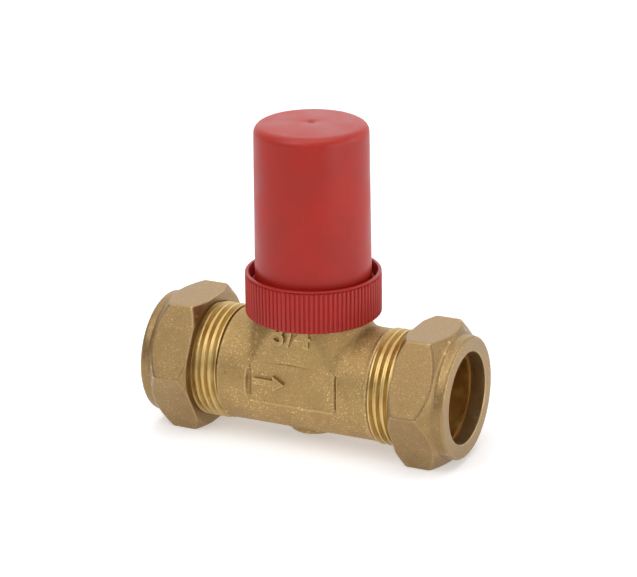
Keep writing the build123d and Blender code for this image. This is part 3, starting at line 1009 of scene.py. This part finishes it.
@dataclass
class ForgedBody:
    """The brass body: run, neck, lower boss, marked pads, and the two threaded tails."""

    finishes: FinishBook
    run_height: float = 16.0 * MM
    run_radius: float = 13.6 * MM
    run_reach: float = 20.0 * MM
    lip_width: float = 1.0 * MM
    lip_stand: float = 0.22 * MM
    end_round: float = 0.5 * MM
    neck_radius: float = 13.5 * MM
    neck_top: float = 15.8 * MM
    boss_radius: float = 6.0 * MM
    boss_drop: float = 13.7 * MM
    pad_y: float = 12.65 * MM
    pad_half_length: float = 11.7 * MM
    pad_half_height: float = 5.0 * MM
    pad_rise: float = 1.3 * MM
    pad_draft: float = 1.6 * MM
    pad_flare: tuple[float, float, float] = (1.05, 1.0, 1.28)
    pad_lines: tuple[tuple[int, float, float], ...] = (
        (-1, 0.9 * MM, 0.3 * MM), (1, 0.6 * MM, 0.62 * MM),
    )
    arrow_height: float = 0.85 * MM
    arrow: tuple[Point, ...] = (
        (-10.2, -0.72), (-4.8, -0.72), (-4.8, -1.9), (-1.8, 0.0),
        (-4.8, 1.9), (-4.8, 0.72), (-10.2, 0.72),
    )
    size_mark: str = "3/4"
    mark_size: float = 8.0 * MM
    mark_middle: Point = (0.4 * MM, 14.1 * MM)
    mark_depth: float = 4.0 * MM
    mark_weight: float = 0.012
    mark_stand: float = 0.85 * MM
    mark_gap: float = 0.3 * MM
    mark_grain: float = 0.13 * MM
    core_radius: float = 12.0 * MM
    core_margin: float = 0.4 * MM
    lug_radius: float = 13.06 * MM
    lug_start: float = 19.44 * MM
    lug_gap: float = 0.02 * MM
    tail_outer: float = 14.7 * MM
    tail_end: float = 33.0 * MM
    grain: float = 0.27 * MM
    web: tuple[Point, ...] = (
        (0.0 * MM, 17.5 * MM), (6.0 * MM, 16.4 * MM), (10.0 * MM, 15.1 * MM),
        (13.2 * MM, 14.1 * MM), (15.2 * MM, 13.5 * MM),
    )
    web_half_width: float = 12.85 * MM
    crease_reach: float = 5.4 * MM
    crease_full: float = 2.5 * MM
    crease_passes: int = 220
    boss_softness: float = 0.12
    boss_reach: float = 2.16 * MM
    skin_passes: int = 4
    sharp_from: float = 24.0
    thread_sharp_from: float = 30.0

    def crease(self, point: Vector) -> float:
        """How near a point is to the corners where the neck and the boss leave the run.

        Args:
            point: A point of the body's skin.

        Returns:
            1 in a corner, falling to 0 a little way off.
        """
        along = Vector((point.x, point.y, 0.0))
        off_neck = abs(along.length - self.neck_radius)
        off_boss = abs(along.length - self.boss_radius)
        drop = point.z - self.run_height
        off_run = abs(math.hypot(point.y, drop) - self.run_radius)
        if drop > 0:
            near = 1.0 - math.hypot(off_neck, off_run) / self.crease_reach
            return max(0.0, near) * min(1.0, abs(point.x) / self.crease_full)
        near = 1.0 - math.hypot(off_boss, off_run) / self.boss_reach
        return self.boss_softness * max(0.0, near)

    def build_web(self) -> bpy.types.Object:
        """The metal that fills the corners between the run and the neck.

        Returns:
            A wide foot under the neck, no thicker than the pads leave it.
        """
        z = self.run_height
        top, foot = self.web[-1][0], self.web[0][1]
        outline = [(z, 0.0), *((z + rise, radius) for rise, radius in self.web), (z + top, 0.0)]
        web = lathe("web", outline, Along.SPINDLE)
        half = self.web_half_width
        combine(web, slab("web_limit", Vector((-2 * foot, -half, z - MM)),
                          Vector((2 * foot, half, z + top + MM))), Join.KEEP_COMMON)
        return web

    def cut_pads(self, run: bpy.types.Object) -> None:
        """Sink the flat pads on the front and the back, with a struck line at each end.

        Args:
            run: The body's skin.
        """
        middle = self.run_height + self.pad_rise
        low, high = middle - self.pad_half_height, middle + self.pad_half_height
        length = self.pad_half_length
        corners = [(-length, low), (length, low), (length, high), (-length, high)]
        for side in (-1, 1):
            floor = side * self.pad_y
            combine(run, prism("pad_cut", corners, floor, floor + side * self.pad_draft,
                               self.pad_flare), Join.CUT)
            for at, width, depth in self.pad_lines:
                deep, clear = floor - side * depth, side * 2 * self.run_radius
                end = -side * at * length
                inner = end + side * at * width
                combine(run, slab("struck_line",
                                  Vector((min(end, inner), min(deep, clear), low + width)),
                                  Vector((max(end, inner), max(deep, clear), high - width))),
                        Join.CUT)

    def add_marks(self, run: bpy.types.Object) -> None:
        """Raise the flow arrow on the front pad and the size mark on the neck.

        Args:
            run: The body's skin.
        """
        z = self.run_height
        arrow = prism(
            "arrow",
            [(x * MM, z + self.pad_rise + h * MM) for x, h in self.arrow],
            -self.pad_y + MM, -self.pad_y - self.arrow_height,
        )
        forge(arrow, self.mark_grain, passes=1)
        combine(run, arrow, Join.ADD)
        mark_x, mark_z = self.mark_middle
        mark = numerals(
            "size_mark", self.size_mark, self.mark_size,
            Vector((mark_x, -self.neck_radius, z + mark_z)), self.mark_depth, self.mark_weight,
        )
        forge(mark, self.mark_grain, passes=1)
        combine(mark, rod("mark_limit", Along.SPINDLE, z, z + self.neck_top - self.mark_gap,
                          self.neck_radius + self.mark_stand), Join.KEEP_COMMON)
        forge(mark, self.mark_grain, passes=1)
        combine(run, mark, Join.ADD)

    def build_outside(self) -> bpy.types.Object:
        """Forge the outside: run, neck, boss, flat pads, arrow and size mark in one skin.

        Returns:
            The closed solid, without its bores.
        """
        z = self.run_height
        reach, radius, ease = self.run_reach, self.run_radius, self.end_round
        inner, lip = reach - self.lip_width, radius + self.lip_stand
        half = [(inner, radius), (inner + self.lip_stand, lip), (reach - ease, lip),
                (reach, lip - ease), (reach, 0.0)]
        run = lathe("forged_body", [(-x, r) for x, r in reversed(half)] + half, Along.RUN, z)
        neck = rod("neck", Along.SPINDLE, z, z + self.neck_top, self.neck_radius)
        combine(run, neck, Join.ADD)
        combine(run, self.build_web(), Join.ADD)
        boss = rod("boss", Along.SPINDLE, z - self.boss_drop, z, self.boss_radius)
        combine(run, boss, Join.ADD)
        forge(run, self.grain, self.skin_passes)
        mark_group(run, "creases", self.crease)
        apply_modifier(run, "SMOOTH", factor=EASE, iterations=self.crease_passes,
                       vertex_group="creases")
        self.cut_pads(run)
        forge(run, self.grain, passes=1)
        self.add_marks(run)
        return run

    def build_core(self) -> bpy.types.Object:
        """The space inside the forging: sockets, waterways, seat passages and the neck's thread.

        Returns:
            A solid of the shape that is cut out.
        """
        z = self.run_height
        half_length = self.run_reach - self.core_margin
        core = rod("body_core", Along.RUN, -half_length, half_length, self.core_radius, z)
        combine(core, rod("neck_core", Along.SPINDLE, z, z + self.neck_top + MM,
                          self.core_radius), Join.ADD)
        combine(core, cad_copy("valve_body", "core_mould"), Join.CUT)
        lug = self.lug_radius + self.lug_gap
        for side in (-1, 1):
            start, end = side * (self.lug_start - self.lug_gap), side * (self.run_reach + MM)
            combine(core, rod("lug_seat", Along.RUN, min(start, end), max(start, end), lug, z),
                    Join.ADD)
        return core

    def build_tail(self, side: int) -> bpy.types.Object:
        """Cut one threaded tail as a piece of its own, so that it can be bright.

        Args:
            side: -1 for the left end and 1 for the right.

        Returns:
            The tail.
        """
        label = "left" if side < 0 else "right"
        tail = cad_copy("valve_body", f"{label}_tail_thread")
        step = self.run_reach + self.lug_gap
        outline = [
            (self.lug_start, 0), (self.lug_start, self.lug_radius), (step, self.lug_radius),
            (step, self.tail_outer), (self.tail_end, self.tail_outer), (self.tail_end, 0),
        ]
        window = lathe("tail_window", [(side * x, r) for x, r in outline], Along.RUN,
                       self.run_height)
        combine(tail, window, Join.KEEP_COMMON)
        clean_and_shade(tail, self.thread_sharp_from)
        return tail

    def build(self) -> list[bpy.types.Object]:
        """Build and dress the body and its tails.

        Returns:
            The finished pieces.
        """
        outside = self.build_outside()
        combine(outside, self.build_core(), Join.CUT)
        clean_and_shade(outside, self.sharp_from)
        apply_modifier(outside, "WEIGHTED_NORMAL", mode="FACE_AREA", keep_sharp=True)
        self.finishes.dress(outside, "forged_brass")
        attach(outside, "body")
        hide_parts("valve_body")
        pieces = [outside]
        for side in (-1, 1):
            tail = self.build_tail(side)
            self.finishes.dress(tail, "turned_ends", record_slot="forged_brass")
            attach(tail, "body")
            pieces.append(tail)
        return pieces


@dataclass
class CompressionNut:
    """One hexagon compression nut with soft forged corners and a machined hole."""

    finishes: FinishBook
    side: int
    run_height: float = 16.0 * MM
    across_flats: float = 32.0 * MM
    back: float = 26.4 * MM
    collar: float = 37.2 * MM
    nose: float = 39.98 * MM
    nose_radius: float = 14.9 * MM
    nose_round: float = 0.45 * MM
    outer_cone: tuple[float, float] = (3.2 * MM, 15.45 * MM)
    inner_cone: tuple[float, float] = (1.9 * MM, 16.45 * MM)
    cone_overshoot: float = 18.7 * MM
    thread_inset: float = 0.1 * MM
    thread_end: float = 33.95 * MM
    cone_lap: float = 0.05 * MM
    thread_room: float = 14.5 * MM
    cone_start: float = 12.17 * MM
    nose_wall: float = 36.8 * MM
    bore: float = 11.15 * MM
    mouth: float = 14.12 * MM
    mouth_depth: float = 0.5 * MM
    lip: float = 0.25 * MM
    grain: float = 0.27 * MM
    skin_passes: int = 4
    sharp_from: float = 40.0

    @property
    def label(self) -> str:
        """Which end this nut is on."""
        return "left" if self.side < 0 else "right"

    def turned(self, name: str, outline: Sequence[Point]) -> bpy.types.Object:
        """Turn a solid about the run, on this nut's side.

        Args:
            name: The solid's name.
            outline: (x, radius) corners, given for the right-hand end.

        Returns:
            The solid.
        """
        return lathe(name, [(self.side * x, r) for x, r in outline], Along.RUN, self.run_height)

    def build_outside(self) -> bpy.types.Object:
        """The hexagon with its turned corners, and the nose collar, in one soft skin.

        Returns:
            The closed solid, without its hole.
        """
        ends = sorted((self.side * self.back, self.side * self.collar))
        nut = hexagon(f"{self.label}_nut", Along.RUN, *ends, self.across_flats, self.run_height)
        (out_run, out_r), (in_run, in_r) = self.outer_cone, self.inner_cone
        barrel = self.turned("barrel", [
            (self.back - MM, 0), (self.back - MM, in_r), (self.back, in_r),
            (self.back + in_run, self.cone_overshoot),
            (self.collar - out_run, self.cone_overshoot),
            (self.collar, out_r), (self.collar + MM, out_r), (self.collar + MM, 0),
        ])
        combine(nut, barrel, Join.KEEP_COMMON)
        collar = self.turned("collar", [
            (self.collar - MM, 0), (self.collar - MM, self.nose_radius),
            (self.nose - self.nose_round, self.nose_radius),
            (self.nose, self.nose_radius - self.nose_round), (self.nose, 0),
        ])
        take(nut)
        collar.select_set(True)
        bpy.ops.object.join()
        forge(nut, self.grain, self.skin_passes)
        return nut

    def build(self) -> bpy.types.Object:
        """Build and dress the nut.

        Returns:
            The finished nut.
        """
        node = f"{self.label}_compression_nut"
        nut = self.build_outside()
        thread = self.turned("thread_space", [
            (self.back + self.thread_inset, 0), (self.back + self.thread_inset, self.thread_room),
            (self.thread_end, self.thread_room), (self.thread_end, 0),
        ])
        combine(thread, cad_copy(node, "thread_mould"), Join.CUT)
        combine(nut, thread, Join.CUT)
        combine(nut, self.turned("nose_bore", [
            (self.thread_end - self.cone_lap, 0), (self.thread_end - self.cone_lap, self.cone_start),
            (self.nose_wall, self.bore), (self.nose - self.lip, self.bore),
            (self.nose + self.lip, self.bore + 2 * self.lip),
            (self.nose + self.lip, 0),
        ]), Join.CUT)
        combine(nut, self.turned("mouth", [
            (self.back - MM, 0), (self.back - MM, self.mouth + MM), (self.back, self.mouth),
            (self.back + self.mouth_depth, self.mouth - self.mouth_depth),
            (self.back + self.mouth_depth, 0),
        ]), Join.CUT)
        clean_and_shade(nut, self.sharp_from)
        self.finishes.dress(nut, "nut_brass")
        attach(nut, f"{self.label}_nut")
        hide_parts(node)
        return nut


@dataclass
class Shield:
    """The red lockshield: a ribbed ring that screws on, and the hood that it holds down."""

    finishes: FinishBook
    run_height: float = 16.0 * MM
    ring_bottom: float = 16.0 * MM
    ring_top: float = 26.6 * MM
    ring_wall: float = 16.0 * MM
    ring_rim: float = 16.3 * MM
    rim_height: float = 0.6 * MM
    rim_ease: float = 0.28 * MM
    mouth_flare: float = 0.5 * MM
    cup_radius: float = 15.0 * MM
    foot_ease: float = 0.25 * MM
    rib_count: int = 90
    rib_radius: float = 0.42 * MM
    rib_crest: float = 16.35 * MM
    rib_sides: int = 12
    rib_end_round: float = 0.3 * MM
    ring_room: float = 15.3 * MM
    foot_bottom: float = 22.58 * MM
    foot_top: float = 24.18 * MM
    foot_radius: float = 14.85 * MM
    base_radius: float = 13.95 * MM
    top_radius: float = 13.65 * MM
    top: float = 63.1 * MM
    dome: float = 0.3 * MM
    edge: float = 2.0 * MM
    wall: float = 1.6 * MM
    roof: float = 2.2 * MM
    gate_radius: float = 1.1 * MM
    gate_depth: float = 0.2 * MM
    skirt_round: float = 0.3 * MM
    foot_round: float = 0.2 * MM
    ring_sharp_from: float = 40.0
    hood_sharp_from: float = 32.0

    def build_rib(self) -> bpy.types.Object:
        """One upright half-round rib with rounded ends.

        Returns:
            The rib, at the front of the ring.
        """
        low = self.run_height + self.ring_bottom + self.foot_ease
        high = self.run_height + self.ring_top - self.rim_height
        deselect()
        bpy.ops.mesh.primitive_cylinder_add(
            vertices=self.rib_sides, radius=self.rib_radius, depth=high - low,
            location=(0, self.rib_radius - self.rib_crest, (low + high) / 2),
        )
        rib = named("rib")
        apply_modifier(rib, "BEVEL", width=self.rib_end_round, segments=2, limit_method="ANGLE",
                       angle_limit=math.radians(60))
        return rib

    def build_ring(self) -> bpy.types.Object:
        """The ring: a turned band, its ribs, and the cup and thread inside.

        Returns:
            The finished ring.
        """
        low = self.run_height + self.ring_bottom
        high = self.run_height + self.ring_top
        rim, wall, ease, toe = self.ring_rim, self.ring_wall, self.rim_ease, self.foot_ease
        shelf = high - self.rim_height
        bend = [
            (high - ease + ease * math.sin(math.radians(turn)),
             rim - ease + ease * math.cos(math.radians(turn)))
            for turn in (0, 22, 45, 68, 90)
        ]
        ring = lathe("shield_ring_ribbed", [
            (low, 0), (low, wall - toe), (low + toe, wall), (shelf, wall),
            (shelf + rim - wall, rim), *bend, (high, 0),
        ], Along.SPINDLE, steps=180)
        rib = self.build_rib()
        take(rib)
        bpy.ops.object.mode_set(mode="EDIT")
        bpy.ops.mesh.select_all(action="SELECT")
        bpy.ops.mesh.spin(steps=self.rib_count, dupli=True, angle=FULL_TURN,
                          center=(0, 0, 0), axis=(0, 0, 1))
        bpy.ops.mesh.select_all(action="SELECT")
        bpy.ops.mesh.remove_doubles(threshold=SAME_CORNER)
        bpy.ops.mesh.normals_make_consistent(inside=False)
        bpy.ops.object.mode_set(mode="OBJECT")
        combine(ring, rib, Join.ADD)
        room = rod("ring_space", Along.SPINDLE, low - MM, high + MM, self.ring_room)
        combine(room, cad_copy("shield_ring", "ring_mould"), Join.CUT)
        combine(ring, room, Join.CUT)
        flare = self.mouth_flare
        combine(ring, lathe("mouth", [
            (high - 2 * flare, 0), (high - 2 * flare, self.cup_radius),
            (high, self.cup_radius + flare), (high + flare, self.cup_radius + flare),
            (high + flare, 0),
        ], Along.SPINDLE), Join.CUT)
        clean_and_shade(ring, self.ring_sharp_from)
        self.finishes.dress(ring, "ring_plastic")
        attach(ring, "shield_ring")
        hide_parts("shield_ring")
        return ring

    def hood_outline(self) -> list[Point]:
        """The hood's wall, roof and foot as (height, radius) corners.

        Returns:
            The closed outline, from the roof's middle round to its underside.
        """
        z = self.run_height
        shoulder = z + self.top - self.dome - self.edge
        inner_top = self.top_radius - self.wall
        ceiling = z + self.top - self.roof
        gate, rise = self.gate_radius, self.top_radius - self.edge
        crown = [(z + self.top - self.gate_depth, 0.0),
                 (z + self.top - self.gate_depth, 0.7 * gate), (z + self.top, gate)]
        crown += [
            (z + self.top - self.dome * (share ** 2), gate + (rise - gate) * share)
            for share in (0.2, 0.4, 0.6, 0.8, 0.93)
        ]
        bend = [
            (shoulder + self.edge * math.cos(math.radians(turn)),
             self.top_radius - self.edge + self.edge * math.sin(math.radians(turn)))
            for turn in range(5, 91, 17)
        ]
        skirt = [
            (z + self.foot_top + self.skirt_round, self.base_radius),
            (z + self.foot_top, self.base_radius + self.skirt_round),
            (z + self.foot_top, self.foot_radius - self.foot_round),
            (z + self.foot_top - self.foot_round, self.foot_radius),
            (z + self.foot_bottom, self.foot_radius),
            (z + self.foot_bottom, self.base_radius - self.wall),
        ]
        inside = [(ceiling - MM, inner_top), (ceiling, inner_top - MM), (ceiling, 0.0)]
        return crown + bend + skirt + inside

    def build_hood(self) -> bpy.types.Object:
        """The hood: a turned cap with a soft edge and a gate mark on top.

        Returns:
            The finished hood.
        """
        hood = lathe("shield_hood_cap", self.hood_outline(), Along.SPINDLE, steps=160)
        clean_and_shade(hood, self.hood_sharp_from)
        self.finishes.dress(hood, "hood_plastic")
        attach(hood, "shield_hood")
        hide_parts("shield_hood")
        return hood

    def build(self) -> list[bpy.types.Object]:
        """Build and dress the shield.

        Returns:
            The ring and the hood.
        """
        return [self.build_ring(), self.build_hood()]


@dataclass
class Headwork:
    """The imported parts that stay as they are, and only get their finishes."""

    finishes: FinishBook
    wear: dict[str, str] = field(default_factory=lambda: {
        "seat_ring": "machined_brass",
        "left_olive": "olive_brass",
        "right_olive": "olive_brass",
        "bonnet": "machined_brass",
        "bonnet_seal": "black_rubber",
        "packing_washer": "machined_brass",
        "gland_packing": "ptfe_packing",
        "gland_follower": "machined_brass",
        "gland_nut": "machined_brass",
        "valve_plug": "machined_brass",
        "seat_washer": "black_rubber",
        "seat_washer_nut": "machined_brass",
        "plug_clip": "spring_steel",
        "spindle": "machined_brass",
        "slip_washer": "white_nylon",
    })

    def build(self) -> list[bpy.types.Object]:
        """Dress each part.

        Returns:
            The parts.
        """
        for node, finish in self.wear.items():
            self.finishes.dress(frame["nodes"][node], finish)
        return [frame["nodes"][node] for node in self.wear]


# ---------------------------------------------------------------------------------------------
# Studio
# ---------------------------------------------------------------------------------------------

@dataclass(frozen=True)
class SoftBox:
    """A square soft light, placed by its direction from the valve."""

    name: str
    azimuth: float
    elevation: float
    distance: float
    size: float
    watts: float

    def hang(self, aim: Vector) -> None:
        """Add the light, turned to the valve.

        Args:
            aim: The point that it faces.
        """
        turn, rise = math.radians(self.azimuth), math.radians(self.elevation)
        away = Vector((math.sin(turn) * math.cos(rise), -math.cos(turn) * math.cos(rise),
                       math.sin(rise)))
        light = bpy.data.lights.new(self.name, "AREA")
        light.shape = "SQUARE"
        light.size = self.size
        light.energy = self.watts
        lamp = bpy.data.objects.new(self.name, light)
        bpy.context.scene.collection.objects.link(lamp)
        lamp.location = aim + away * self.distance
        lamp.rotation_mode = "QUATERNION"
        lamp.rotation_quaternion = (-away).to_track_quat("-Z", "Y")


@dataclass
class Studio:
    """Camera, soft lights, a white world and a pale floor that keeps the valve's shadow."""

    azimuth: float = 25.86
    elevation: float = 20.0
    roll: float = -0.78
    distance: float = 696.7 * MM
    aim_along: float = 1.173 * MM
    aim_height: float = 37.678 * MM
    lens: float = 164.96
    sensor: float = 36.0
    nearest: float = 0.01
    floor_size: float = 6.0
    floor_tone: Colour = (0.86, 0.86, 0.86)
    floor_lift: float = 0.38
    low_tone: Colour = (0.3, 0.3, 0.3)
    high_tone: Colour = (0.5, 0.5, 0.52)
    lights: tuple[SoftBox, ...] = (
        SoftBox("key", -22.0, 48.0, 0.9, 0.6, 2.4),
        SoftBox("right_side", 112.0, 12.0, 0.75, 0.5, 1.1),
        SoftBox("bore", 74.0, 6.0, 0.7, 0.3, 0.8),
        SoftBox("rear", 204.0, 30.0, 0.9, 0.7, 0.8),
        SoftBox("overhead", 30.0, 86.0, 0.9, 0.8, 3.2),
    )

    def set_camera(self) -> None:
        """Stand the camera in front of the valve, to its right and a little above it."""
        turn, rise, roll = (math.radians(v) for v in (self.azimuth, self.elevation, self.roll))
        back = Vector((math.sin(turn) * math.cos(rise), -math.cos(turn) * math.cos(rise),
                       math.sin(rise)))
        level = Vector((math.cos(turn), math.sin(turn), 0.0))
        upright = back.cross(level)
        right = math.cos(roll) * level + math.sin(roll) * upright
        up = -math.sin(roll) * level + math.cos(roll) * upright
        aim = Vector((self.aim_along * math.cos(turn), self.aim_along * math.sin(turn),
                      self.aim_height))
        lens = bpy.data.cameras.new("camera")
        lens.lens = self.lens
        lens.sensor_width = self.sensor
        lens.clip_start = self.nearest
        camera = bpy.data.objects.new("camera", lens)
        bpy.context.scene.collection.objects.link(camera)
        stand = Matrix((right, up, back)).transposed().to_4x4()
        stand.translation = aim + back * self.distance
        camera.matrix_world = stand
        bpy.context.scene.camera = camera

    def set_world(self) -> None:
        """A world that is white behind the valve and softer where it only lights it."""
        world = bpy.data.worlds.new("studio_world")
        bpy.context.scene.world = world
        world.use_nodes = True
        world.node_tree.nodes.clear()
        w = Wiring(world.node_tree)
        path = w.node("LightPath")
        direction = w.node("TexCoord")
        parts = w.node("SeparateXYZ")
        w.join(direction.outputs["Generated"], parts.inputs[0])
        rear = w.spread(parts.outputs[1], -0.05, 0.4)
        seen = w.maths("MAXIMUM", path.outputs["Is Camera Ray"],
                       w.maths("MAXIMUM", path.outputs["Is Transmission Ray"],
                               w.maths("MULTIPLY", path.outputs["Is Glossy Ray"], rear)))
        room = w.spread(parts.outputs[2], -0.3, 1.0)
        tone = w.blend(room, self.low_tone, self.high_tone)
        shown = w.blend(seen, tone, WHITE)
        background = w.node("Background")
        w.join(shown, background.inputs["Color"])
        output = w.node("OutputWorld")
        w.join(background.outputs[0], output.inputs["Surface"])

    def lay_floor(self) -> None:
        """A wide white floor on which the shadow still shows."""
        deselect()
        bpy.ops.mesh.primitive_plane_add(size=self.floor_size, location=(0, 0, 0))
        floor = named("floor")
        material = bpy.data.materials.new("white_floor")
        material.use_nodes = True
        material.node_tree.nodes.clear()
        w = Wiring(material.node_tree)
        matt = w.node("BsdfDiffuse")
        matt.inputs["Color"].default_value = (*self.floor_tone, 1.0)
        lift = w.node("Emission")
        path = w.node("LightPath")
        seen = w.maths("MAXIMUM", path.outputs["Is Camera Ray"], path.outputs["Is Glossy Ray"])
        w.join(w.maths("MULTIPLY", seen, self.floor_lift), lift.inputs["Strength"])
        both = w.node("AddShader")
        w.join(matt.outputs[0], both.inputs[0])
        w.join(lift.outputs[0], both.inputs[1])
        output = w.node("OutputMaterial")
        w.join(both.outputs[0], output.inputs["Surface"])
        floor.data.materials.append(material)

    def build(self) -> None:
        """Set up the camera, the world, the floor and the lights."""
        bpy.context.scene.view_settings.view_transform = "Standard"
        self.set_camera()
        self.set_world()
        self.lay_floor()
        for soft_box in self.lights:
            soft_box.hang(Vector((0.0, 0.0, self.aim_height)))


def main() -> None:
    """Build the studio and every piece of the valve, then log each piece's face count."""
    logging.basicConfig(level=logging.INFO, format="%(name)s: %(message)s")
    Studio().build()
    run_height = ForgedBody.run_height
    finishes = FinishBook(run_height)
    made = ForgedBody(finishes).build()
    made += [CompressionNut(finishes, side).build() for side in (-1, 1)]
    made += Shield(finishes).build()
    made += Headwork(finishes).build()
    for piece in made:
        log.info("%s: %d faces", piece.name, len(piece.data.polygons))
    deselect()


if __name__ == "__main__":
    main()
